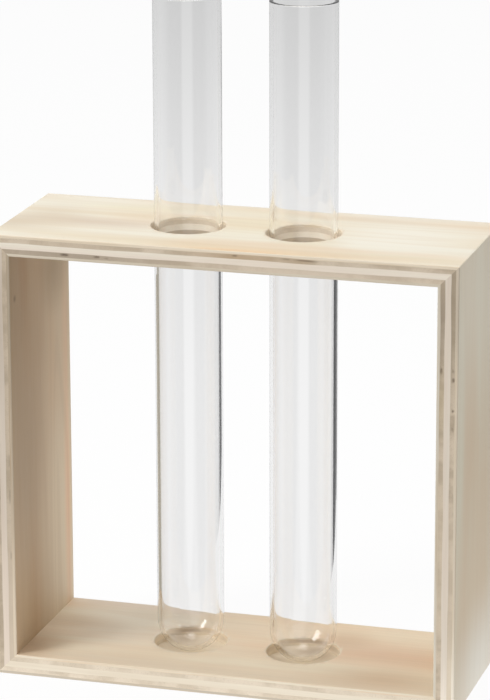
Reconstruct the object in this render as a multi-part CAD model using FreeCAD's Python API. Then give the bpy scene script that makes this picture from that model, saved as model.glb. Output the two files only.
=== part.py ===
import FreeCAD
import Part
import os

# Test tube vase: a mitred frame of five-ply boards that holds two glass tubes.
# Millimetres, +Z up, +Y to the back. The origin is the middle of the underside.

# Frame, outside sizes, and the rounding of its sanded edges
frame_width = 140.0
frame_depth = 53.0
frame_height = 135.0
arris_radius = 0.3

# Veneers of a board: two faces, two crossbands and a core
face_thickness = 0.9
crossband_thickness = 1.35
core_thickness = 1.8

# Glass tubes, round at the bottom and open at the top, with a lip that the
# flame has melted to a low crown, and the distance between their axes
tube_diameter = 20.0
tube_wall = 1.2
tube_length = 200.0
lip_crown = 0.25
tube_pitch = 35.0

# Seats of the tubes: the gap all round a tube in its hole and its recess,
# the depth of a recess, and the gap that is left under a tube's round end
tube_clearance = 1.0
recess_depth = 3.3
seat_gap = 0.3

# Overrun of a cutting tool past the face where it enters or leaves
overrun = 1.0

plies = [
    ("outer_veneer", face_thickness),
    ("outer_crossband", crossband_thickness),
    ("core", core_thickness),
    ("inner_crossband", crossband_thickness),
    ("inner_veneer", face_thickness),
]
board_thickness = sum(thickness for name, thickness in plies)

# The boards in the order of the frame's corners, anticlockwise from the lower left
boards = ["bottom_board", "right_board", "top_board", "left_board"]

half_width = frame_width / 2
half_depth = frame_depth / 2
tube_radius = tube_diameter / 2
bore_radius = tube_radius - tube_wall
seat_radius = tube_radius + tube_clearance
recess_floor = board_thickness - recess_depth
tube_base = recess_floor + seat_gap
tube_axes = {"left": -tube_pitch / 2, "right": tube_pitch / 2}

full_turn = 360
# Sine and cosine of the middle of a quarter circle
diagonal_share = 0.5 ** 0.5
up = FreeCAD.Vector(0, 0, 1)
through_depth = FreeCAD.Vector(0, frame_depth, 0)


def ring_corners(inset):
    """Corners, on the front plane, of the frame's outline moved inwards by inset."""
    side = half_width - inset
    top = frame_height - inset
    places = [(-side, inset), (side, inset), (side, top), (-side, top)]
    return [FreeCAD.Vector(x, -half_depth, z) for x, z in places]


def next_corners(corners):
    """The same ring of corners, each place holding the one that follows."""
    return corners[1:] + corners[:1]


def frame_block(inset):
    """Block as deep as the frame, with the frame's outline moved inwards by inset."""
    corners = ring_corners(inset)
    face = Part.Face(Part.makePolygon(corners + corners[:1]))
    return face.extrude(through_depth)


def is_window_corner(edge):
    """True on the four hollow edges, front to back, where the boards meet inside."""
    middle = edge.CenterOfMass
    inside = abs(middle.x) < half_width and 0 < middle.z < frame_height
    return inside and abs(middle.y) < half_depth


def sanded_frame():
    """The glued-up frame as one block, with all but its hollow corners rounded over."""
    block = frame_block(0).cut(frame_block(board_thickness))
    sanded_edges = [edge for edge in block.Edges if not is_window_corner(edge)]
    return block.makeFillet(arris_radius, sanded_edges)


def mitred_strip(outer_inset, inner_inset, side):
    """One veneer of the board on this side: a strip between two insets, mitred at both ends."""
    outer = ring_corners(outer_inset)
    inner = ring_corners(inner_inset)
    start = outer[side]
    outline = [start, next_corners(outer)[side], next_corners(inner)[side], inner[side], start]
    face = Part.Face(Part.makePolygon(outline))
    return face.extrude(through_depth)


def upright_cylinder(radius, x, bottom, top):
    """Cylinder about the upright axis at x, between two heights."""
    return Part.makeCylinder(radius, top - bottom, FreeCAD.Vector(x, 0, bottom), up)


def seat_cutters(board):
    """Drills for this board: guide holes through the top, recesses into the bottom."""
    if board == "top_board":
        span = (frame_height - board_thickness - overrun, frame_height + overrun)
    elif board == "bottom_board":
        span = (recess_floor, board_thickness + overrun)
    else:
        return []
    return [upright_cylinder(seat_radius, x, *span) for x in tube_axes.values()]


def board_plies(board, side, block):
    """The five veneers of a board, from its outer face to its inner one, by name."""
    solids = {}
    outer_inset = 0
    for name, thickness in plies:
        inner_inset = outer_inset + thickness
        ply = mitred_strip(outer_inset, inner_inset, side).common(block)
        for cutter in seat_cutters(board):
            ply = ply.cut(cutter)
        solids[board + "_" + name] = ply
        outer_inset = inner_inset
    return solids


def profile_point(radius, height):
    """Point of a tube's profile, at a distance from its axis and a height."""
    return FreeCAD.Vector(radius, 0, height)


def round_end(radius, centre_height):
    """Quarter circle of a tube's round end, from the axis up to the straight wall."""
    slant = radius * diagonal_share
    start = profile_point(0, centre_height - radius)
    middle = profile_point(slant, centre_height - slant)
    end = profile_point(radius, centre_height)
    return Part.Arc(start, middle, end).toShape()


def glass_tube(x):
    """Glass tube on the axis at x: one wall thickness all over, with a rounded lip."""
    centre_height = tube_base + tube_radius
    lip_height = tube_base + tube_length - lip_crown
    outside = round_end(tube_radius, centre_height)
    outer_line = Part.makeLine(profile_point(tube_radius, centre_height),
                               profile_point(tube_radius, lip_height))
    lip = Part.Arc(profile_point(tube_radius, lip_height),
                   profile_point(tube_radius - tube_wall / 2, lip_height + lip_crown),
                   profile_point(bore_radius, lip_height)).toShape()
    inner_line = Part.makeLine(profile_point(bore_radius, lip_height),
                               profile_point(bore_radius, centre_height))
    inside = round_end(bore_radius, centre_height)
    floor_line = Part.makeLine(profile_point(0, centre_height - bore_radius),
                               profile_point(0, centre_height - tube_radius))
    wire = Part.Wire([outside, outer_line, lip, inner_line, inside, floor_line])
    tube = Part.Face(wire).revolve(FreeCAD.Vector(0, 0, 0), up, full_turn)
    return tube.translated(FreeCAD.Vector(x, 0, 0))


def all_parts():
    """Every piece of the vase, by the name of its file."""
    parts = {}
    block = sanded_frame()
    for side, board in enumerate(boards):
        parts.update(board_plies(board, side, block))
    for name, x in tube_axes.items():
        parts[name + "_test_tube"] = glass_tube(x)
    return parts


os.makedirs("parts", exist_ok=True)
for name, shape in all_parts().items():
    shape.Solids[0].exportStep("parts/" + name + ".step")
    print(name, len(shape.Solids), shape.isValid(), round(shape.Volume))
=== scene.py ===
import math

import bmesh
import bpy
import numpy as np
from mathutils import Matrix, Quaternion, Vector


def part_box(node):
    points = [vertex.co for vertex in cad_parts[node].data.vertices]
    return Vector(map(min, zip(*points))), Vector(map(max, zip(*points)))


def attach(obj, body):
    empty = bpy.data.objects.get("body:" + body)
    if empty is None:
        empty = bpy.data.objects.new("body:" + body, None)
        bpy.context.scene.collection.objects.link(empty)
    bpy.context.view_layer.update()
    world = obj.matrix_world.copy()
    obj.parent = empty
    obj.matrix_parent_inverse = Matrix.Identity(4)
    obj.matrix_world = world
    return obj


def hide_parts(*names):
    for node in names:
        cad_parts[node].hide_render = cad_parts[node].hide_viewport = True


# Test tube vase: a mitred frame of five-ply boards with two glass tubes in it.
# Metres, +Z up, +Y to the back. The origin is the middle of the underside.

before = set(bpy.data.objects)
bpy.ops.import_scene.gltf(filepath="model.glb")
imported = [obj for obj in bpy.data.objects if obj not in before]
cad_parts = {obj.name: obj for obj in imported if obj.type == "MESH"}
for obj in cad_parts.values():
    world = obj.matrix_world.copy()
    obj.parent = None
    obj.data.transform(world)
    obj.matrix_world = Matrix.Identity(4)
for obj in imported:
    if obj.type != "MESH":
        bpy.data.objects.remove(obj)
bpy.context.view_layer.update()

MM = 0.001
FULL_TURN = 2 * math.pi

# Boards in the order of the frame's corners, anticlockwise from the lower left,
# and the veneers of each, from its outer face to its inner one
BOARDS = ["bottom_board", "right_board", "top_board", "left_board"]
PLIES = ["outer_veneer", "outer_crossband", "core", "inner_crossband", "inner_veneer"]
SIDES = ["left", "right"]
FRONT, BACK = -1, 1

# Levels count a board's faces and glue lines from its outer face. These are its two
# faces, and the plies under them
FACE_LEVELS = (0, len(PLIES))
FACE_PLIES = (0, len(PLIES) - 1)

# Camera at the photograph's view, its angles in degrees and its lens in millimetres
camera_azimuth = 16.33
camera_elevation = 15.84
camera_roll = -0.157
camera_distance = 1.1238
camera_target = Vector((-0.35, 0, 98.3)) * MM
camera_lens = 196.96

# Sizes that the frame's boxes don't give: the wall of a tube, the gap round it in
# its seat, the floor of a recess, and the easing of edges and of the holes' rims
glass_wall = 1.2 * MM
tube_clearance = 1.0 * MM
recess_floor = 3.0 * MM
arris = 0.3 * MM
hole_easing = 0.35 * MM

# Sizes read from the frame
frame_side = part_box("right_board_outer_veneer")[1]
half_width, half_depth = frame_side.x, frame_side.y
frame_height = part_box("top_board_outer_veneer")[1].z
glue_insets = [0.0] + [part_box("bottom_board_" + ply)[1].z for ply in PLIES]
tube_boxes = {side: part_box(side + "_test_tube") for side in SIDES}
tube_axes = {side: (low.x + high.x) / 2 for side, (low, high) in tube_boxes.items()}
tube_radius = (tube_boxes["left"][1].x - tube_boxes["left"][0].x) / 2
seat_radius = tube_radius + tube_clearance


# Meshes

# Points closer than this are one point, and a sharper bend than this stays crisp
weld_distance = 0.001 * MM
sharp_angle = math.radians(35)


def welded_mesh(name, patches):
    """One closed mesh, facing outwards, from patches of (points, faces, marks) that meet.

    The marks of a point are how far its edge is torn, which sets the painted shade in its gaps,
    and whether it lies on the cut edge.
    """
    points = np.concatenate([patch[0].reshape(-1, 3) for patch in patches])
    marks = np.concatenate([patch[2].reshape(-1, 2) for patch in patches])
    starts = np.cumsum([0] + [patch[0].size // 3 for patch in patches])
    faces = []
    for start, (_, patch_faces, _) in zip(starts, patches):
        faces += [[int(start) + corner for corner in face] for face in patch_faces]
    mesh = bpy.data.meshes.new(name)
    mesh.from_pydata(points.tolist(), [], faces)
    for column, mark in enumerate(["torn", "cut_edge"]):
        layer = mesh.attributes.new(mark, "FLOAT", "POINT")
        layer.data.foreach_set("value", np.ascontiguousarray(marks[:, column], dtype=np.float32))
    shell = bmesh.new()
    shell.from_mesh(mesh)
    bmesh.ops.remove_doubles(shell, verts=shell.verts, dist=weld_distance)
    bmesh.ops.recalc_face_normals(shell, faces=shell.faces)
    shell.to_mesh(mesh)
    shell.free()
    return mesh


def add_object(name, data):
    """A new object in the scene, from its mesh, light or camera."""
    thing = bpy.data.objects.new(name, data)
    bpy.context.scene.collection.objects.link(thing)
    return thing


def add_piece(mesh, material, body, node):
    """A finished piece from its mesh, with its material, body and the node it stands for."""
    mesh.shade_smooth()
    mesh.set_sharp_from_angle(angle=sharp_angle)
    mesh.materials.append(material)
    piece = add_object(mesh.name, mesh)
    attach(piece, body)
    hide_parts(node)
    return piece


def grid_faces(rows, columns, closed=False):
    """Quads of a grid, facing the side from which its columns run right and its rows run up."""
    spans = columns if closed else columns - 1
    row, column = np.meshgrid(np.arange(rows - 1), np.arange(spans), indexing="ij")
    following = (column + 1) % columns
    corners = [row * columns + column, row * columns + following,
               (row + 1) * columns + following, (row + 1) * columns + column]
    return np.stack([corner.ravel() for corner in corners], axis=1).tolist()


# Veneers of the boards

# Spacing of points along a board, and the points or rows over a mitre's rounding, a
# hole, a face, an edge, a sanded corner, a hole's wall and a recess's floor
station_step = 0.6 * MM
corner_steps = 5
hole_stations = 41
face_rows = 9
edge_rows = 9
arris_rows = 5
wall_rows = 4
floor_rings = 9

# How far a glue line wanders, its waves' lengths, heights and slant, over what length
# they die away before a mitre, and the step of the draws from board to board
glue_wander = 0.09 * MM
glue_wave_lengths = np.array([61.0, 34.0, 19.0]) * MM
glue_wave_shares = np.array([0.6, 0.45, 0.25])
glue_slant = 0.5
mitre_fade = 4.0 * MM
glue_seed_step = 10

# How far a crossband's soft end grain is sanded below the edge
end_grain_hollow = 0.04 * MM

# Gaps left in the front and back edges where a ply was torn or patched, in millimetres:
# place along the board, half length, share across the ply, half height as a share, depth
edge_gaps = {
    "top_board_inner_crossband": [
        (116.7, 1.1, 0.45, 0.24, 0.3), (106.9, 0.7, 0.4, 0.22, 0.28),
        (104.0, 0.4, 0.55, 0.18, 0.14),
    ],
    "top_board_outer_crossband": [
        (65.6, 0.7, 0.35, 0.2, 0.2), (50.5, 1.2, 0.3, 0.16, 0.15),
        (44.5, 3.0, 0.32, 0.16, 0.2),
    ],
    "right_board_outer_crossband": [
        (104.5, 0.5, 0.45, 0.22, 0.2), (101.8, 0.6, 0.4, 0.26, 0.3),
        (92.8, 0.4, 0.4, 0.22, 0.3), (87.4, 0.6, 0.45, 0.22, 0.15),
    ],
    "right_board_inner_crossband": [(104.4, 0.8, 0.62, 0.2, 0.25)],
    "left_board_inner_crossband": [
        (68.2, 1.8, 0.85, 0.18, 0.12), (79.4, 2.2, 0.8, 0.2, 0.15),
        (97.8, 1.2, 0.8, 0.2, 0.12),
    ],
    "bottom_board_outer_crossband": [
        (18.0, 2.6, 0.6, 0.3, 0.06), (63.0, 1.6, 0.3, 0.2, 0.06),
        (104.0, 2.2, 0.5, 0.24, 0.08),
    ],
}
# How ragged a gap is, its ripples along and across, and the depth at which its painted shade is
# darkest
gap_raggedness = 0.35
gap_ripples = (7, 5)
dark_gap_depth = 0.3 * MM


def kind_of(ply):
    """What a ply is: the core, a crossband or a face."""
    return "core" if ply == "core" else "crossband" if "crossband" in ply else "face"


def board_ends(board):
    """The two outer corners between which a board runs, as (x, z)."""
    corners = [(-half_width, 0), (half_width, 0),
               (half_width, frame_height), (-half_width, frame_height)]
    side = BOARDS.index(board)
    return np.array(corners[side]), np.array(corners[(side + 1) % len(corners)])


def board_length(board):
    """Length of a board between its two outer corners."""
    start, end = board_ends(board)
    return float(np.abs(end - start).sum())


def sanded_corners(points):
    """Points with the frame's four outer corners rounded.

    Within the radius of both faces of a corner, an offset d from the rounding's centre
    becomes d max(|dx|, |dz|) / |d|, which turns the square corner into a quarter circle.
    """
    x, z = points[..., 0], points[..., 2]
    reach_x = arris - (half_width - np.abs(x))
    reach_z = arris - np.minimum(z, frame_height - z)
    length = np.hypot(reach_x, reach_z)
    in_corner = (reach_x > 0) & (reach_z > 0)
    scale = np.maximum(reach_x, reach_z) / np.maximum(length, weld_distance)
    scale = np.where(in_corner, scale, 1)
    x = np.where(in_corner, np.sign(x) * (half_width - arris + reach_x * scale), x)
    low = arris - reach_z * scale
    z = np.where(in_corner, np.where(z > frame_height / 2, frame_height - low, low), z)
    return np.stack([x, points[..., 1], z], axis=-1)


def placed_on_board(board, along, across, inset):
    """Points at (along the board, front to back, inwards from its outer face), in the frame."""
    start, end = board_ends(board)
    forward = (end - start) / board_length(board)
    along, across, inset = np.broadcast_arrays(along, across, inset)
    x = start[0] + forward[0] * along - forward[1] * inset
    z = start[1] + forward[1] * along + forward[0] * inset
    return sanded_corners(np.stack([x, across, z], axis=-1))


def hole_places(board):
    """Where the axes of the tubes cross a board, along it. The upright boards have none."""
    if board == "bottom_board":
        return [half_width + tube_axes["left"], half_width + tube_axes["right"]]
    if board == "top_board":
        return [half_width - tube_axes["right"], half_width - tube_axes["left"]]
    return []


def hole_passes(board, level):
    """Whether the tubes' holes pass through this face or glue line of a board."""
    return board == "top_board" or (board == "bottom_board" and glue_insets[level] > recess_floor)


def stretch_shares(length, from_mitre, to_mitre):
    """Shares of a straight stretch: close together over a mitre's rounding, and even elsewhere."""
    close = np.linspace(0, arris, corner_steps)[:-1]
    low = arris if from_mitre else 0.0
    high = length - (arris if to_mitre else 0.0)
    even = np.linspace(low, high, int(round((high - low) / station_step)) + 1)
    parts = [close] * from_mitre + [even] + [length - close[::-1]] * to_mitre
    return np.concatenate(parts) / length


def stations(board, inset, radius):
    """Places along a board, from mitre to mitre, and half the holes' width at each, for each row.

    A row at this inset runs from inset to length - inset. Across a hole of this radius
    its places are centre - r cos t and the half width is r sin t, for t from 0 to a half turn.
    """
    inset, radius = inset[:, None], radius[:, None]
    length = board_length(board)
    turn = np.linspace(0, math.pi, hole_stations)[1:-1]
    centres = hole_places(board) + [None]
    places, widths, begin, level_begin = [], [], inset, 0.0
    for centre in centres:
        end = length - inset if centre is None else centre - radius
        level_end = length if centre is None else centre - seat_radius
        share = stretch_shares(level_end - level_begin, level_begin == 0.0, centre is None)
        places.append(begin + (end - begin) * share)
        widths.append(np.zeros(places[-1].shape))
        if centre is not None:
            places.append(centre - radius * np.cos(turn))
            widths.append(radius * np.sin(turn))
            begin, level_begin = centre + radius, centre + seat_radius
    return np.concatenate(places, axis=1), np.concatenate(widths, axis=1)


def glue_line(board, level, along, across):
    """Inset of a glue line: its level plus three sine waves along and across the board.

    The waves die away at the mitres as 1 - exp(-d^2), with d in fade lengths. The board's
    two faces, the first and the last level, stay flat.
    """
    inset = np.full(np.broadcast_shapes(np.shape(along), np.shape(across)), glue_insets[level])
    if level in FACE_LEVELS:
        return inset
    draw = np.random.default_rng(glue_seed_step * BOARDS.index(board) + level)
    nearest = np.minimum(along, board_length(board) - along) - glue_insets[level]
    fade = 1 - np.exp(-(nearest / mitre_fade) ** 2)
    for length, share in zip(glue_wave_lengths, glue_wave_shares):
        phase, slant = draw.uniform(0, FULL_TURN), draw.uniform(-glue_slant, glue_slant)
        wave = np.sin(FULL_TURN * (along + slant * across) / length + phase)
        inset = inset + glue_wander * share * fade * wave
    return inset


def ply_inset(board, ply, level_share, along, across):
    """Inset at a share of a ply's thickness, between its two glue lines."""
    level = PLIES.index(ply)
    outer = glue_line(board, level, along, across)
    return outer + (glue_line(board, level + 1, along, across) - outer) * level_share


def gap_depth(node, along, level_share):
    """How deep a cut edge is torn: the sum of ragged dips exp(-a^4 - b^2) at its gaps."""
    depth = np.zeros(along.shape)
    ripples, cross_ripples = gap_ripples
    for place, half_length, middle, half_height, deep in edge_gaps.get(node, []):
        reach = (along / MM - place) / half_length
        rise = (level_share - middle) / half_height
        ragged = 1 + gap_raggedness * np.sin(ripples * reach) * np.cos(cross_ripples * rise)
        depth += deep * MM * ragged * np.exp(-reach ** 4 - rise ** 2)
    return depth


def quarter_round_steps():
    """A quarter round from a face to an edge, in radii: (down the edge, in along the face)."""
    turn = np.linspace(0, math.pi / 2, arris_rows)
    return 1 - np.cos(turn), 1 - np.sin(turn)


def section_rows(board, ply):
    """Rows of half a ply's section, from its middle over the outer face, edge and inner face.

    The columns are the share of the way from the edge to the middle, the share of the
    thickness, a step in from the edge, a step in from the outer face, the radius of the
    holes, and 1 where the holes pass.
    """
    level = PLIES.index(ply)
    thickness = glue_insets[level + 1] - glue_insets[level]
    inwards = np.linspace(0, 1, face_rows)
    down, along_face = quarter_round_steps()
    faces = []
    for face_level in (level, level + 1):
        outside = face_level in FACE_LEVELS
        hole_radius = seat_radius + hole_easing if outside else seat_radius
        faces.append((arris if outside else 0.0, hole_radius, hole_passes(board, face_level)))
    (outer_arris, outer_radius, outer_open), (inner_arris, inner_radius, inner_open) = faces
    rows = [(share, 0, outer_arris, 0, outer_radius, outer_open) for share in inwards[::-1]]
    if outer_arris:
        rows += [(0, 0, arris * step, arris * fall, seat_radius, 1)
                 for fall, step in zip(down[1:], along_face[1:])]
    edge = np.linspace(outer_arris / thickness, 1 - inner_arris / thickness, edge_rows)
    rows += [(0, share, 0, 0, seat_radius, 1) for share in edge[1:-1]]
    if inner_arris:
        rows += [(0, 1, arris * step, -arris * fall, seat_radius, 1)
                 for fall, step in zip(down[:0:-1], along_face[:0:-1])]
    rows += [(share, 1, inner_arris, 0, inner_radius, inner_open) for share in inwards]
    return np.array(rows, dtype=float)


def half_ply(board, ply, side):
    """The half of a ply in front of the board's middle plane or behind it, with its mitred ends.

    A row at share q of the way to the middle lies at y = side (edge (1 - q) + w q), where w is
    half the hole's width at the station and edge is half the depth less arris, hollow and gaps.
    """
    rows = section_rows(board, ply)
    inward, level_share, step, lift, radius, opening = (column[:, None] for column in rows.T)
    level = PLIES.index(ply)
    nominal = glue_insets[level] * (1 - level_share) + glue_insets[level + 1] * level_share + lift
    along, hole_width = stations(board, nominal[:, 0], radius[:, 0])
    on_edge = (inward == 0) & (level_share > 0) & (level_share < 1)
    belly = 4 * level_share * (1 - level_share)
    hollow = end_grain_hollow * belly * (kind_of(ply) == "crossband")
    # the back edge has the same gaps, counted from the board's other end
    gap_along = along if side == FRONT else board_length(board) - along
    torn = gap_depth(board + "_" + ply, gap_along, level_share)
    torn = torn * np.minimum(1, 2 * belly) * on_edge
    edge = half_depth - step - hollow * on_edge - torn
    across = side * (edge * (1 - inward) + hole_width * opening * inward)
    inset = ply_inset(board, ply, level_share, along, across) + lift
    points = placed_on_board(board, along, across, inset)
    # the cut edge ends where a face veneer's rounding meets its face
    on_face = ((level_share == 0) | (level_share == 1)) & (lift == 0)
    cut = (inward == 0) & ~(on_face & (level in FACE_PLIES))
    marks = np.stack([np.minimum(1, torn / dark_gap_depth), cut + np.zeros(along.shape)], axis=-1)
    row_starts = np.arange(len(rows)) * along.shape[1]
    mitres = [row_starts.tolist(), (row_starts + along.shape[1] - 1).tolist()]
    return points, grid_faces(*along.shape) + mitres, marks


def hole_wall_rows(board, ply):
    """Rows of a hole's wall in a ply, and of a recess's floor.

    The columns are the radius, the share of the thickness, a lift, and 1 on the floor.
    """
    level = PLIES.index(ply)
    down, along_face = quarter_round_steps()
    rows = []
    if hole_passes(board, level):
        first_share = 0.0
        if level == 0:
            rows += [(seat_radius + hole_easing * step, 0, hole_easing * fall, 0)
                     for fall, step in zip(down, along_face)]
    else:
        thickness = glue_insets[level + 1] - glue_insets[level]
        first_share = (recess_floor - glue_insets[level]) / thickness
        rows += [(seat_radius * share, 0, 0, 1) for share in np.linspace(0, 1, floor_rings)]
    skipped_first = 1 if rows else 0
    skipped_last = 1 if level == FACE_PLIES[1] else 0
    shares = np.linspace(first_share, 1, wall_rows)[skipped_first:wall_rows - skipped_last]
    rows += [(seat_radius, share, 0, 0) for share in shares]
    if skipped_last:
        rows += [(seat_radius + hole_easing * step, 1, -hole_easing * fall, 0)
                 for fall, step in zip(down[::-1], along_face[::-1])]
    return np.array(rows, dtype=float)


def hole_wall(board, ply, centre, side):
    """Half the wall of a hole, and half a recess's floor: (centre - r cos t, side r sin t)."""
    columns = hole_wall_rows(board, ply).T
    radius, level_share, lift, on_floor = (column[:, None] for column in columns)
    turn = np.linspace(0, math.pi, hole_stations)
    along, across = centre - radius * np.cos(turn), side * radius * np.sin(turn)
    inset = ply_inset(board, ply, level_share, along, across) + lift
    inset = np.where(on_floor == 1, recess_floor, inset)
    points = placed_on_board(board, along, across, inset)
    marks = np.zeros(along.shape + (2,))
    marks[..., 1] = 1 - on_floor
    return points, grid_faces(*along.shape), marks


def veneer_piece(board, ply, material):
    """One veneer of a board as a closed piece: two half sections, and the walls of its holes."""
    patches = [half_ply(board, ply, side) for side in (FRONT, BACK)]
    if hole_passes(board, PLIES.index(ply) + 1):
        patches += [hole_wall(board, ply, centre, side)
                    for centre in hole_places(board) for side in (FRONT, BACK)]
    node = board + "_" + ply
    add_piece(welded_mesh(node + "_wood", patches), material, "frame", node)


# Glass tubes

# Points round a tube, rows of a round end, of the straight wall and of the lip, and
# the height of the lip's crown
tube_steps = 320
end_rows = 28
straight_rows = 36
lip_rows = 13
lip_crown = 0.25 * MM

# Last stretch of the straight wall below the lip, where each row is half as far
# from the lip as the one before
lip_approach = 4.0 * MM
approach_rows = 7

# Lengthwise waves of the bore of drawn glass: their height, how many go round, their
# length, how fast they rise from the ends of the wall, and the left tube's draw
bore_wave_height = 0.012 * MM
bore_wave_counts = np.array([2, 3, 5, 8])
bore_wave_shares = np.array([1.0, 0.8, 0.5, 0.3])
bore_wave_length = 260.0 * MM
bore_wave_rise = 4
bore_seed = 50


def tube_profile(radius, low, high):
    """Profile of a tube, from its foot outside to its foot inside: (r, z, share of the waves).

    Each round end is (r sin t, centre - r cos t), each wall is straight, and the lip is half
    an ellipse as wide as the wall and as high as its crown.
    """
    centre, lip = low + radius, high - lip_crown
    quarter = np.linspace(0, math.pi / 2, end_rows)[:-1]
    even = np.linspace(centre, lip - lip_approach, straight_rows)
    closer = lip - lip_approach * 0.5 ** np.arange(1, approach_rows)
    heights = np.concatenate([even, closer, [lip]])
    # the waves die away at both ends of the straight wall
    swing = np.sin(math.pi * (heights - centre) / (lip - centre))
    swing = np.minimum(1, bore_wave_rise * swing)
    lines = []
    for wall_radius, waves in ((radius, 0.0), (radius - glass_wall, 1.0)):
        r = np.concatenate([wall_radius * np.sin(quarter), np.full(len(heights), wall_radius)])
        z = np.concatenate([centre - wall_radius * np.cos(quarter), heights])
        share = waves * np.concatenate([np.zeros(end_rows - 1), swing])
        lines.append(np.stack([r, z, share], axis=1))
    turn = np.linspace(0, math.pi, lip_rows)[1:-1]
    rim = np.stack([radius - glass_wall / 2 * (1 - np.cos(turn)),
                    lip + lip_crown * np.sin(turn), np.zeros(turn.shape)], axis=1)
    return np.concatenate([lines[0], rim, lines[1][::-1]])


def bore_waves(side, angle, height):
    """Waves of the bore: sines round the tube whose phases drift slowly along it."""
    draw = np.random.default_rng(bore_seed + SIDES.index(side))
    wave = np.zeros(np.broadcast_shapes(np.shape(angle), np.shape(height)))
    for count, share in zip(bore_wave_counts, bore_wave_shares):
        phase, drift = draw.uniform(0, FULL_TURN), draw.uniform(-1, 1)
        drifted = drift * FULL_TURN * height / bore_wave_length
        wave = wave + share * np.sin(count * angle + phase + drifted)
    return wave


def glass_tube(side, material):
    """A tube: its profile turned about its upright axis, (x + r cos a, r sin a, z)."""
    low, high = tube_boxes[side]
    profile = tube_profile(tube_radius, low.z, high.z)
    angle = np.arange(tube_steps) * FULL_TURN / tube_steps
    ring = profile[1:-1]
    height = ring[:, 1:2]
    radius = ring[:, :1] + bore_wave_height * ring[:, 2:] * bore_waves(side, angle, height)
    points = np.stack([tube_axes[side] + radius * np.cos(angle), radius * np.sin(angle),
                       height + np.zeros(tube_steps)], axis=2).reshape(-1, 3)
    poles = np.array([[tube_axes[side], 0, profile[0, 1]], [tube_axes[side], 0, profile[-1, 1]]])
    column = np.arange(tube_steps)
    following = (column + 1) % tube_steps
    foot, last_row = len(points), len(points) - tube_steps
    outer_fan = np.stack([np.full(tube_steps, foot), following, column], axis=1)
    inner_fan = np.stack([np.full(tube_steps, foot + 1), last_row + column,
                          last_row + following], axis=1)
    faces = grid_faces(len(ring), tube_steps, closed=True)
    faces += outer_fan.tolist() + inner_fan.tolist()
    mesh = bpy.data.meshes.new(side + "_glass_tube")
    mesh.from_pydata(np.concatenate([points, poles]).tolist(), [], faces)
    tube = add_piece(mesh, material, side + "_tube", side + "_test_tube")
    # thin clear glass darkens nothing near it, so it lets all soft light pass
    tube.visible_shadow = tube.visible_diffuse = False


# Shader nodes

WHITE = (1, 1, 1, 1)

# How far one noise is moved for each step of its seed
noise_shift = (7.31, 3.77, 5.13)


def tone(red, green, blue):
    """A colour given by its screen values, 0 to 255, as the light it reflects, by sRGB's curve."""
    shares = np.array([red, green, blue]) / 255
    linear = np.where(shares <= 0.04045, shares / 12.92, ((shares + 0.055) / 1.055) ** 2.4)
    return (*linear.tolist(), 1)


def new_material(name):
    """An empty node material and its node tree."""
    material = bpy.data.materials.new(name)
    material.use_nodes = True
    material.node_tree.nodes.clear()
    return material, material.node_tree


def add_node(tree, kind, inputs=None, **settings):
    """A shader node with its settings, each input set to a value or linked to a socket."""
    node = tree.nodes.new("ShaderNode" + kind)
    for name, value in settings.items():
        setattr(node, name, value)
    for name, value in (inputs or {}).items():
        if isinstance(value, bpy.types.NodeSocket):
            tree.links.new(value, node.inputs[name])
        else:
            node.inputs[name].default_value = value
    return node


def maths(tree, operation, *values):
    """One step of arithmetic on numbers or sockets."""
    return add_node(tree, "Math", dict(enumerate(values)), operation=operation).outputs[0]


def vector_maths(tree, operation, *values):
    """One step of arithmetic on vectors. A length or a dot product comes out as a number."""
    node = add_node(tree, "VectorMath", dict(enumerate(values)), operation=operation)
    return node.outputs["Value" if operation in ("LENGTH", "DOT_PRODUCT") else "Vector"]


def graded(tree, value, low, high, start=0.0, end=1.0):
    """A value carried smoothly from low..high to start..end, and held beyond them."""
    inputs = {"Value": value, "From Min": low, "From Max": high, "To Min": start, "To Max": end}
    return add_node(tree, "MapRange", inputs, interpolation_type="SMOOTHSTEP").outputs[0]


def blended(tree, share, first, second, blend="MIX"):
    """A colour that goes from the first to the second with the share."""
    # inputs 0, 6 and 7 and output 2 are the ones that this node has for colours
    inputs = {0: share, 6: first, 7: second}
    return add_node(tree, "Mix", inputs, data_type="RGBA", blend_type=blend).outputs[2]


def grain_noise(tree, place, grain, size, seed, detail=2.0, roughness=0.5):
    """Noise with features of this length along the grain and width across it, in millimetres."""
    length, width = size
    scale = [1 / ((length if axis == grain else width) * MM) for axis in "XYZ"]
    shift = [step * seed for step in noise_shift]
    mapped = add_node(tree, "Mapping", {"Vector": place, "Location": shift, "Scale": scale})
    inputs = {"Vector": mapped.outputs[0], "Scale": 1.0, "Detail": detail, "Roughness": roughness}
    return add_node(tree, "TexNoise", inputs).outputs[0]


def soft_spot(tree, place, centre, reach):
    """1 at a centre and 0 beyond its reach, both in millimetres, fading smoothly between."""
    offset = vector_maths(tree, "SUBTRACT", place, [value * MM for value in centre])
    shares = vector_maths(tree, "DIVIDE", offset, [value * MM for value in reach])
    return graded(tree, vector_maths(tree, "LENGTH", shares), 0.0, 1.0, 1.0, 0.0)


def with_marks(tree, place, colour, marks):
    """A colour with local marks laid over it, each a (centre, reach, tone, strength)."""
    for centre, reach, mark, strength in marks:
        spot = maths(tree, "MULTIPLY", soft_spot(tree, place, centre, reach), strength)
        colour = blended(tree, spot, colour, tone(*mark))
    return colour


# Wood

# Each noise of a ply has a size, along and across the grain, a range of its values over
# which a share goes from none to all, and a seed counted from the ply's own

# Fibres, and the relief they give
fibre_size, fibre_range = (9, 0.22), (0.3, 0.7)
relief_strength = 0.3
relief_height = 0.03 * MM

# Relief and roughness of each kind of ply, how far fibres change the roughness, and
# how much bare wood reflects
wood_finishes = {"face": (1.0, 0.58), "core": (0.8, 0.58), "crossband": (1.6, 0.68)}
smoother, rougher = 0.06, 0.08
wood_specular = 0.35
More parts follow.
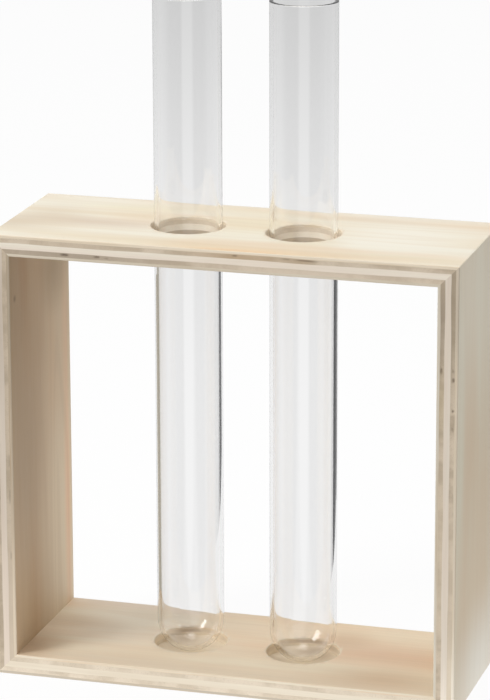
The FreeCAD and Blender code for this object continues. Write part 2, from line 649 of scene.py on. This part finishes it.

# Painted shade in a torn gap: its tone, and how much of it shows
gap_shade_tone, gap_shade_strength = (92, 76, 58), 0.75

# Fine lines along the grain
line_range = (0.3, 0.7)
fine_detail = {"detail": 4, "roughness": 0.6}


def wood_material(name, kind, colour_of, grain, seed):
    """Sanded bare wood: a colour by place, painted shade in the torn gaps of its cut edges, and
    its grain's relief.
    """
    material, tree = new_material(name)
    relief, roughness = wood_finishes[kind]
    place = add_node(tree, "TexCoord").outputs["Object"]
    fibres = grain_noise(tree, place, grain, fibre_size, seed + 5, detail=3)
    torn = add_node(tree, "Attribute", attribute_name="torn").outputs["Fac"]
    colour = colour_of(tree, place)
    # painted shade darkens the torn gaps of the cut edges
    colour = blended(tree, maths(tree, "MULTIPLY", torn, gap_shade_strength), colour, tone(*gap_shade_tone))
    rough = graded(tree, fibres, *fibre_range, roughness - smoother, roughness + rougher)
    bump = add_node(tree, "Bump", {"Height": fibres, "Strength": relief_strength * relief,
                                   "Distance": relief_height})
    shader = add_node(tree, "BsdfPrincipled", {"Base Color": colour, "Roughness": rough,
                                               "Normal": bump.outputs[0]})
    shader.inputs["Specular IOR Level"].default_value = wood_specular
    add_node(tree, "OutputMaterial", {"Surface": shader.outputs[0]})
    return material


def lined(tree, colour, lines, strength, shade):
    """A colour that fine lines darken, down to this share of its light."""
    grey = blended(tree, graded(tree, lines, *line_range), (shade, shade, shade, 1), WHITE)
    return blended(tree, strength, colour, grey, "MULTIPLY")


# Broad streaks of a face veneer, and a pinkish flush that comes and goes in it
streak_size, streak_range = (170, 14), (0.36, 0.64)
flush_size, flush_range = (80, 19), (0.4, 0.66)
flush_tone, flush_strength = (250, 232, 218), 0.5

# Late wood: the slow noise of its rings, how close they lie, how strong they are, and
# the range of the fine lines that show in the cut edge
ring_size, ring_steps = (190, 17), 46.0
late_strength = 0.17
late_edge_range = (0.35, 0.7)

# Fine lines of a face veneer
line_size = (34, 0.5)
line_strength, line_shade = 0.1, 0.55

# Tones of a face veneer: light and warm wood in broad streaks, darker late wood in narrow ones,
# and the colour of its cut edge. The left board's inner face has darker tones as painted shade,
# and the bottom's outer cut edge a darker one as painted shade along the frame's foot
plain_tones = ((236, 226, 204), (226, 212, 188), (212, 195, 170))
face_tones = {
    "top_outer": ((249, 242, 224), (242, 228, 201), (230, 210, 180), (246, 232, 210)),
    "top_inner": (*plain_tones, (233, 222, 202)),
    "right_outer": ((241, 232, 208), (237, 221, 194), (224, 206, 178), (228, 214, 194)),
    "right_inner": (*plain_tones, (226, 218, 202)),
    # its darker cut edge is painted shade along the frame's foot
    "bottom_outer": (*plain_tones, (204, 192, 174)),
    "bottom_inner": ((250, 238, 213), (247, 226, 198), (234, 210, 180), (242, 231, 209)),
    "left_outer": (*plain_tones, (226, 214, 196)),
    # darker tones: painted shade on the inner face of the left board
    "left_inner": ((212, 191, 163), (204, 179, 150), (188, 163, 134), (206, 190, 167)),
}

# Strength of a face veneer's figure, where it is fainter than the others'
figure_shares = {"right_outer": 0.35, "top_outer": 0.75, "left_inner": 0.7}

# Local colour of a face veneer, partly the wood's own tone and partly painted light and shade:
# centre and reach in millimetres, tone, and strength
face_tone_and_light_marks = {
    "top_outer": [
        ((-45, -4, 135), (36, 9, 9), (222, 202, 180), 0.7),
        ((-69, -10, 135), (12, 13, 9), (224, 209, 186), 0.7),
        ((-60, -2, 135), (18, 24, 9), (224, 207, 182), 0.6),
        ((-38, 16, 135), (26, 8, 9), (243, 233, 198), 0.5),
        ((10, -26, 135), (34, 6, 9), (246, 214, 172), 0.6),
        ((4, -26, 135), (22, 3, 9), (244, 204, 158), 0.6),
        ((22, -8, 135), (16, 12, 9), (240, 222, 186), 0.5),
        ((34, 20, 135), (30, 7, 9), (232, 218, 196), 0.5),
        ((56, -20, 135), (30, 3, 9), (240, 226, 196), 0.4),
        ((46, 4, 135), (40, 24, 9), (255, 250, 236), 0.8),
        ((44, 26, 135), (70, 7, 9), (252, 245, 230), 0.8),
        ((-48, 22, 135), (34, 9, 9), (252, 247, 232), 0.6),
        ((0, 4, 135), (26, 24, 9), (246, 234, 205), 0.5),
    ],
    "right_outer": [
        ((70, -6, 122), (9, 70, 50), (252, 244, 224), 0.7),
        ((70, 4, 40), (9, 50, 44), (238, 220, 192), 0.6),
        # painted light at the foot of the right side, as from the floor beside it
        ((70, 6, 4), (9, 50, 30), (255, 249, 235), 0.95),
    ],
    "bottom_inner": [
        # painted light over the back and left of the bottom board's inner face
        ((-44, 10, 6), (34, 34, 9), (255, 246, 228), 0.9),
        # painted shadow beside the left board
        ((-54, 6, 6), (20, 9, 9), (226, 204, 176), 0.6),
        ((42, 4, 6), (38, 17, 9), (236, 203, 174), 0.75),
        ((-2, 14, 6), (30, 10, 9), (240, 218, 192), 0.4),
        # painted light along the back edge
        ((-40, 25, 6), (50, 5, 9), (255, 238, 220), 0.7),
        ((0, -27, 6), (160, 13, 9), (236, 220, 195), 0.9),
        # painted shade in the front corner beside the left board
        ((-64, -18, 6), (16, 19, 9), (198, 166, 132), 0.8),
        ((46, -17, 6), (27, 13, 9), (222, 195, 164), 0.85),
        ((27, 12, 6), (15, 12, 9), (224, 196, 166), 0.7),
    ],
    "left_inner": [
        # mostly painted light and shade: shade towards the top and the front and under the top
        # board, light towards the back and the foot
        ((-64, -26, 128), (40, 44, 96), (168, 144, 114), 0.9),
        ((-64, 36, 30), (40, 52, 104), (255, 240, 214), 1.0),
        ((-64, -14, 12), (40, 26, 50), (196, 166, 126), 0.5),
        ((-64, 22.5, 40), (9, 5, 60), (255, 214, 178), 0.8),
        ((-64, 22, 92), (9, 5, 34), (236, 202, 170), 0.6),
        ((-64, 27, 70), (9, 3, 110), (240, 226, 200), 0.9),
        ((-64, -16, 62), (9, 24, 44), (182, 160, 133), 0.5),
        ((-64, 12, 117), (9, 18, 19), (148, 126, 97), 0.5),
        ((-64, -15, 122), (9, 6, 20), (172, 136, 100), 0.35),
        ((-64, -22.4, 115), (9, 1.5, 1.6), (104, 86, 68), 0.7),
    ],
}

# Painted light and shade on the cut edges of the face veneers: lighter at the left end of a
# recess's rim, darker on the recesses' back walls, and darker towards the top and lighter at the
# foot of the upright boards
cut_edge_painted_light = {
    "bottom_inner": [
        # painted light on the left end of the left recess's rim, painted shade on the recesses'
        # back walls
        ((-28, 2, 6), (6, 12, 4), (255, 244, 224), 0.8),
        ((-21.5, 10, 6), (6, 7, 4), (190, 168, 138), 0.7),
        ((19, 9, 6), (11, 9, 4), (190, 168, 138), 0.7),
    ],
    "right_outer": [
        # darker towards the top, and painted light at the foot
        ((69.5, -26, 122), (9, 9, 26), (204, 190, 170), 0.8),
        ((69.5, -26, 6), (9, 9, 28), (252, 242, 224), 0.9),
    ],
    "left_inner": [
        # darker towards the top, and painted light at the foot
        ((-64.4, -26, 112), (9, 9, 38), (182, 167, 145), 0.9),
        ((-64.4, -26, 18), (9, 9, 46), (236, 220, 196), 0.9),
    ],
}


def face_veneer(name, grain, seed):
    """A face veneer: light and warm streaks, late-wood lines, fine fibres, and local colour with
    painted light and shade.
    """
    light, warm, late, cut = (tone(*values) for values in face_tones[name])
    figure = figure_shares.get(name, 1.0)

    def colour_of(tree, place):
        streaks = grain_noise(tree, place, grain, streak_size, seed)
        colour = blended(tree, graded(tree, streaks, *streak_range), light, warm)
        flushes = grain_noise(tree, place, grain, flush_size, seed + 9)
        flush = graded(tree, flushes, *flush_range, 0.0, flush_strength)
        colour = blended(tree, flush, colour, tone(*flush_tone), "MULTIPLY")
        # local colour, partly the wood's own tone and partly painted light and shade
        colour = with_marks(tree, place, colour, face_tone_and_light_marks.get(name, []))
        # late wood shows where a slow noise crosses even steps, as rings cut lengthwise
        rings = grain_noise(tree, place, grain, ring_size, seed + 1, detail=1)
        rings = maths(tree, "SINE", maths(tree, "MULTIPLY", rings, ring_steps))
        share = maths(tree, "MULTIPLY", graded(tree, rings, 0.0, 1.0), late_strength * figure)
        colour = blended(tree, share, colour, late)
        fine = grain_noise(tree, place, grain, line_size, seed + 2, **fine_detail)
        colour = lined(tree, colour, fine, line_strength * figure, line_shade)
        edge = add_node(tree, "Attribute", attribute_name="cut_edge").outputs["Fac"]
        edge_colour = blended(tree, graded(tree, fine, *late_edge_range), cut, late)
        # painted light and shade on the cut edges
        edge_colour = with_marks(tree, place, edge_colour, cut_edge_painted_light.get(name, []))
        return blended(tree, edge, colour, edge_colour)

    return wood_material(name + "_veneer", "face", colour_of, grain, seed)


# Streaks and fine lines of a core
core_streak_size, core_streak_range = (60, 2.2), (0.35, 0.65)
core_line_size = (14, 0.3)
core_line_strength, core_line_shade = 0.12, 0.6

# Tones of a core, light and warm
core_tones = {
    "bottom_board": ((246, 234, 213), (239, 225, 202)),
    "right_board": ((239, 227, 210), (236, 221, 203)),
    "top_board": ((255, 246, 228), (250, 236, 218)),
    "left_board": ((228, 214, 197), (222, 205, 188)),
}

# Local colour of the crossbands and cores, at their cut edges and in the holes: painted light and
# shade on the holes' walls and in the recesses, darker towards the top and painted light at the
# foot of the upright boards' edges, and local tone along the top board's front edge
ply_tone_and_light_marks = {
    "top_board_core": [
        # painted light and shade on the walls of the holes, darker in the left hole
        ((-17.5, 0, 132), (16, 16, 9), (246, 226, 192), 0.9),
        ((17.5, 0, 132), (16, 16, 9), (255, 236, 202), 0.9),
    ],
    "bottom_board_core": [
        # painted shade in the recesses, most at their left sides and back walls
        ((-17.5, 0, 3), (14, 14, 9), (224, 204, 172), 0.9),
        ((17.5, 0, 3), (14, 14, 9), (224, 204, 172), 0.9),
        ((9, -5, 3), (8, 8, 9), (186, 164, 132), 0.7),
        ((-22, 6, 3), (7, 9, 9), (180, 156, 126), 0.6),
        ((20, 6, 3), (10, 9, 9), (172, 148, 118), 0.7),
    ],
    "bottom_board_inner": [
        # painted light at the left end of the left recess's rim, painted shade on the recesses'
        # back walls
        ((-28, 2, 5), (6, 12, 4), (255, 240, 216), 0.8),
        ((-21.5, 10, 5), (6, 7, 4), (170, 146, 116), 0.8),
        ((19, 9, 5), (11, 9, 4), (172, 148, 118), 0.8),
    ],
    "top_board_outer": [
        # painted light and shade on the walls of the holes
        ((-17.5, 0, 133), (16, 16, 9), (240, 222, 190), 0.9),
        ((17.5, 0, 133), (16, 16, 9), (255, 238, 212), 0.9),
        ((6, -26, 133), (24, 6, 4), (196, 168, 134), 0.8),
        ((24, -26, 133), (7, 6, 4), (176, 148, 114), 0.5),
        ((-42, -26, 133), (22, 6, 4), (206, 188, 164), 0.5),
    ],
    "top_board_inner": [
        # painted shade on the lower walls of the holes
        ((-17.5, 0, 130), (16, 17, 9), (150, 130, 102), 0.95),
        ((17.5, 0, 130), (16, 17, 9), (184, 162, 132), 0.95),
        ((-46, -26, 130), (52, 6, 4), (178, 162, 143), 0.85),
        ((30, -26, 130), (44, 6, 4), (230, 213, 192), 0.7),
    ],
    "right_board_outer": [
        # darker towards the top, and painted light at the foot
        ((68, -26, 124), (4, 6, 40), (170, 154, 132), 0.85),
        ((68, -26, 40), (4, 6, 40), (222, 205, 182), 0.6),
        ((68, -26, 8), (4, 6, 34), (238, 223, 200), 0.85),
    ],
    "right_board_inner": [
        # darker towards the top
        ((65, -26, 118), (4, 6, 18), (166, 150, 132), 0.75),
        ((65, -26, 94), (4, 6, 14), (198, 180, 148), 0.6),
        ((65, -26, 50), (4, 6, 40), (220, 203, 178), 0.6),
    ],
    # painted light at the foot
    "right_board_core": [((66.8, -26, 3), (4, 6, 18), (254, 242, 226), 0.9)],
    "left_board_core": [
        # darker towards the top, and painted light at the foot
        ((-67, -26, 110), (4, 6, 38), (207, 192, 175), 0.85),
        ((-67, -26, 18), (4, 6, 48), (242, 226, 208), 0.9),
    ],
    # painted light at the foot
    "left_board_inner": [((-65.2, -26, 18), (4, 6, 46), (218, 201, 179), 0.85)],
}


def core_veneer(board, grain, seed):
    """A board's core: clean pale long grain, the lightest line in the edge."""
    light, warm = (tone(*values) for values in core_tones[board])

    def colour_of(tree, place):
        streaks = grain_noise(tree, place, grain, core_streak_size, seed)
        colour = blended(tree, graded(tree, streaks, *core_streak_range), light, warm)
        # local colour, partly painted light and shade
        colour = with_marks(tree, place, colour, ply_tone_and_light_marks.get(board + "_core", []))
        fine = grain_noise(tree, place, grain, core_line_size, seed + 1, **fine_detail)
        return lined(tree, colour, fine, core_line_strength, core_line_shade)

    return wood_material(board + "_core_veneer", "core", colour_of, grain, seed)


# Patches and pores of a crossband. Its grain runs front to back
patch_size, patch_range = (40, 9), (0.38, 0.62)
patch_detail = {"detail": 3, "roughness": 0.6}
pore_size, pore_range = (6, 0.28), (0.56, 0.72)
pore_tone, pore_strength = (150, 130, 106), 0.28

# Tones of the crossbands' end grain, light and dark
crossband_tones = {
    "bottom_board": ((238, 223, 201), (222, 206, 183)),
    "right_board": ((222, 205, 182), (192, 175, 152)),
    "top_board": ((226, 209, 186), (206, 188, 164)),
    "left_board": ((210, 193, 170), (190, 173, 150)),
}


def crossband_veneer(board, side, seed):
    """A crossband: its cut edge is end grain, darker than long grain, with open pores."""
    light, dark = (tone(*values) for values in crossband_tones[board])

    def colour_of(tree, place):
        patches = grain_noise(tree, place, "Y", patch_size, seed, **patch_detail)
        colour = blended(tree, graded(tree, patches, *patch_range), light, dark)
        pores = grain_noise(tree, place, "Y", pore_size, seed + 1)
        share = maths(tree, "MULTIPLY", graded(tree, pores, *pore_range), pore_strength)
        colour = blended(tree, share, colour, tone(*pore_tone))
        # local colour, partly painted light and shade
        return with_marks(tree, place, colour, ply_tone_and_light_marks.get(board + "_" + side, []))

    name = board + "_" + side + "_crossband_veneer"
    return wood_material(name, "crossband", colour_of, "Y", seed)


# Glass

glass_ior = 1.5


def clear_glass():
    """Clear soda glass, smooth."""
    material, tree = new_material("clear_soda_glass")
    shader = add_node(tree, "BsdfPrincipled", {"Base Color": WHITE, "Roughness": 0.0,
                                               "IOR": glass_ior, "Transmission Weight": 1.0})
    add_node(tree, "OutputMaterial", {"Surface": shader.outputs[0]})
    return material


# Studio

floor_radius = 4.0
floor_sides = 96

# How much of the floor's look is its own matt surface, which shows the shadow
shadow_share = 0.08

# Light thrown back by the floor, the pool of it round the frame, and how far that reaches
floor_light = 0.64
pool_light = 0.5
pool_reach = 0.06

# Paper that glass and gloss see on the floor: near and far distance, and strengths there
paper_fall = (0.2, 1.3, 0.9, 0.66)

# Greys of the paper in gloss, by the angle from the eye's side towards the right: a painted
# reflection of the dark of the room, with a light strip towards the eye
floor_plan = [(-180, 1.0), (-110, 1.0), (-85, 0.95), (-60, 0.4), (-24, 0.32), (-15, 1.0),
              (15, 1.0), (24, 0.32), (60, 0.34), (85, 0.5), (120, 0.95), (180, 1.0)]

# Half a step between two counts of bounces or crossings
half_count = 0.5


def ray_in_glass(tree, path):
    """1 for light that comes by way of glass or gloss."""
    return maths(tree, "MAXIMUM", path.outputs["Is Glossy Ray"],
                 path.outputs["Is Transmission Ray"])


def floor_greys(tree, place):
    """The plan of greys, by the angle atan2(rightwards, towards the eye) round the object."""
    turn = math.radians(camera_azimuth)
    towards = vector_maths(tree, "DOT_PRODUCT", place, (math.sin(turn), -math.cos(turn), 0))
    rightwards = vector_maths(tree, "DOT_PRODUCT", place, (math.cos(turn), math.sin(turn), 0))
    angle = maths(tree, "ARCTAN2", rightwards, towards)
    share = maths(tree, "MULTIPLY_ADD", angle, 1 / FULL_TURN, 0.5)
    plan = add_node(tree, "ValToRGB", {"Fac": share})
    stops = plan.color_ramp.elements
    positions = [degrees / 360 + 0.5 for degrees, _ in floor_plan]
    for position in positions[len(stops):]:
        stops.new(position)
    for stop, position, (_, grey) in zip(stops, positions, floor_plan):
        stop.position = position
        stop.color = (grey, grey, grey, 1)
    return plan.outputs[0]


def studio_floor_material():
    """Pale floor: white to the eye with the object's soft shadow, and paper in glass and gloss."""
    material, tree = new_material("studio_floor")
    path = add_node(tree, "LightPath")
    place = add_node(tree, "TexCoord").outputs["Object"]
    matt = add_node(tree, "BsdfDiffuse", {"Color": WHITE}).outputs[0]
    plain = add_node(tree, "Emission", {"Strength": 1.0}).outputs[0]
    seen = add_node(tree, "MixShader", {0: shadow_share, 1: plain, 2: matt}).outputs[0]
    # seen straight through the glass the paper is plain, and gloss sees its greys, a painted
    # reflection of the room
    in_gloss = maths(tree, "GREATER_THAN", path.outputs["Glossy Depth"], half_count)
    grey = blended(tree, in_gloss, WHITE, floor_greys(tree, place))
    fall = graded(tree, vector_maths(tree, "LENGTH", place), *paper_fall)
    paper = add_node(tree, "Emission", {"Color": grey, "Strength": fall}).outputs[0]
    # light thrown back by the floor, with a pool of it close round the frame
    outside = vector_maths(tree, "ABSOLUTE", place)
    outside = vector_maths(tree, "SUBTRACT", outside, (half_width, half_depth, 0))
    outside = vector_maths(tree, "LENGTH", vector_maths(tree, "MAXIMUM", outside, (0, 0, 0)))
    pool = maths(tree, "EXPONENT", maths(tree, "MULTIPLY", outside, -1 / pool_reach))
    strength = maths(tree, "MULTIPLY_ADD", pool, pool_light, floor_light)
    thrown = add_node(tree, "Emission", {"Strength": strength}).outputs[0]
    to_eye = path.outputs["Is Camera Ray"]
    surface = add_node(tree, "MixShader", {0: to_eye, 1: thrown, 2: seen}).outputs[0]
    in_glass = ray_in_glass(tree, path)
    surface = add_node(tree, "MixShader", {0: in_glass, 1: surface, 2: paper}).outputs[0]
    add_node(tree, "OutputMaterial", {"Surface": surface})
    return material


def stage_mesh(name, points, faces, material):
    """A part of the studio, which isn't part of the object."""
    mesh = bpy.data.meshes.new(name)
    mesh.from_pydata(points, [], faces)
    mesh.materials.append(material)
    thing = add_object(name, mesh)
    return thing


def studio_floor():
    """A large round floor at the height that the frame stands on: (r cos a, r sin a, 0)."""
    angle = np.arange(floor_sides) * FULL_TURN / floor_sides
    points = [floor_radius * np.cos(angle), floor_radius * np.sin(angle), 0 * angle]
    points = np.stack(points, axis=1).tolist()
    stage_mesh("studio_floor", points, [list(range(floor_sides))], studio_floor_material())


# How often light that passes only through a tube's wall crosses its surface
wall_crossings = 2

# Cards that paint the dark and olive lines in the tubes' edges, a painted reflection: start and
# end of the foot, heights of the top at both, and colour
olive = (0.4, 0.38, 0.32, 1)
edge_cards = {
    "dark_card": ((0.088, 0.055, 0), (0.025, 0.215, 0), 0.106, 0.088, (0.012, 0.012, 0.015, 1)),
    "dark_strip": ((0.027, 0.06, 0.035), (0.019, 0.06, 0.035), 0.11, 0.11, (0.1, 0.1, 0.1, 1)),
    "olive_card": ((-0.0575, 0.037, 0), (-0.0655, 0.029, 0), 0.107, 0.107, olive),
    "olive_strip": ((-0.0625, 0.0265, 0.0075), (-0.0625, 0.006, 0.0075), 0.127, 0.127, olive),
}


def edge_card(name, start, end, start_height, end_height, shade):
    """An upright card over the line from its start to its end, seen only in the tubes' edges.

    Light that passes only through a tube's wall, at its edge, crosses glass twice. Light that
    passes through the bore crosses it four times, and for that the card isn't there.
    """
    material, tree = new_material(name)
    crossings = add_node(tree, "LightPath").outputs["Transmission Depth"]
    in_edge = maths(tree, "COMPARE", crossings, wall_crossings, half_count)
    card_shade = add_node(tree, "Emission", {"Color": shade}).outputs[0]
    nothing = add_node(tree, "BsdfTransparent").outputs[0]
    surface = add_node(tree, "MixShader", {0: in_edge, 1: nothing, 2: card_shade}).outputs[0]
    add_node(tree, "OutputMaterial", {"Surface": surface})
    corners = [start, end, (*end[:2], end_height), (*start[:2], start_height)]
    card = stage_mesh(name, corners, [[0, 1, 2, 3]], material)
    card.visible_camera = card.visible_diffuse = card.visible_shadow = False


# Soft light of the room: its directions, each as long as its strength, and the room's
# brightness in glass and gloss
room_lights = [(0, 0, 0.54), (0, -0.42, 0), (0, 0.3, 0), (0.16, 0, 0)]
pale_room = 0.85


def studio_world():
    """Soft light from above and around for matt surfaces, white for the eye, pale for glass."""
    world = bpy.data.worlds.new("studio_world")
    world.use_nodes = True
    tree = world.node_tree
    tree.nodes.clear()
    path = add_node(tree, "LightPath")
    direction = add_node(tree, "TexCoord").outputs["Generated"]
    strength = 0.0
    for towards in room_lights:
        lobe = maths(tree, "MAXIMUM", vector_maths(tree, "DOT_PRODUCT", direction, towards), 0.0)
        strength = maths(tree, "ADD", lobe, strength)
    soft = add_node(tree, "Background", {"Strength": strength}).outputs[0]
    white = add_node(tree, "Background", {"Strength": 1.0}).outputs[0]
    pale = add_node(tree, "Background", {"Strength": pale_room}).outputs[0]
    in_glass, to_eye = ray_in_glass(tree, path), path.outputs["Is Camera Ray"]
    surface = add_node(tree, "MixShader", {0: in_glass, 1: soft, 2: pale}).outputs[0]
    surface = add_node(tree, "MixShader", {0: to_eye, 1: surface, 2: white}).outputs[0]
    add_node(tree, "OutputWorld", {"Surface": surface})
    bpy.context.scene.world = world


# Soft lights: place, aim, width, height and power
lamps = {
    "top_light": ((0, 0.1, 1.4), (0, 0, 0.08), 0.8, 0.8, 6.0),
    "left_light": ((-1.0, -0.85, 0.9), (0, 0, 0.08), 0.5, 1.1, 10.5),
}


def soft_box(name, place, aim, width, height, power):
    """A rectangular soft light at a place, turned to face its aim."""
    light = bpy.data.lights.new(name, "AREA")
    light.shape = "RECTANGLE"
    light.size, light.size_y = width, height
    light.energy = power
    lamp = add_object(name, light)
    lamp.location = place
    lamp.rotation_mode = "QUATERNION"
    lamp.rotation_quaternion = (Vector(aim) - Vector(place)).to_track_quat("-Z", "Y")


def photo_camera():
    """The camera at the photograph's view of the vase."""
    azimuth, elevation = math.radians(camera_azimuth), math.radians(camera_elevation)
    back = Vector((math.sin(azimuth) * math.cos(elevation),
                   -math.cos(azimuth) * math.cos(elevation), math.sin(elevation)))
    data = bpy.data.cameras.new("photo_camera")
    data.lens = camera_lens
    camera = add_object("photo_camera", data)
    camera.location = camera_target + back * camera_distance
    camera.rotation_mode = "QUATERNION"
    roll = Quaternion((0, 0, 1), math.radians(camera_roll))
    camera.rotation_quaternion = (-back).to_track_quat("-Z", "Y") @ roll
    bpy.context.scene.camera = camera


# The vase

# Seeds of the grain: the first, and the steps from board to board and from ply to ply
first_seed = 3
board_seed_step = 11
ply_seed_step = 2


def ply_material(board, ply, seed):
    """The material of a ply. A face's and a core's grain runs the way of the board."""
    grain = "X" if board in ("bottom_board", "top_board") else "Z"
    side = ply.split("_")[0]
    if kind_of(ply) == "core":
        return core_veneer(board, grain, seed)
    if kind_of(ply) == "crossband":
        return crossband_veneer(board, side, seed)
    return face_veneer(board.split("_")[0] + "_" + side, grain, seed)


def wooden_frame():
    """The four boards of the frame, veneer by veneer."""
    for number, board in enumerate(BOARDS):
        for level, ply in enumerate(PLIES):
            seed = first_seed + board_seed_step * number + ply_seed_step * level
            veneer_piece(board, ply, ply_material(board, ply, seed))


bpy.context.scene.view_settings.view_transform = "Standard"
photo_camera()
studio_world()
studio_floor()
for name, card in edge_cards.items():
    edge_card(name, *card)
for name, lamp in lamps.items():
    soft_box(name, *lamp)

wooden_frame()
glass = clear_glass()
for side in SIDES:
    glass_tube(side, glass)
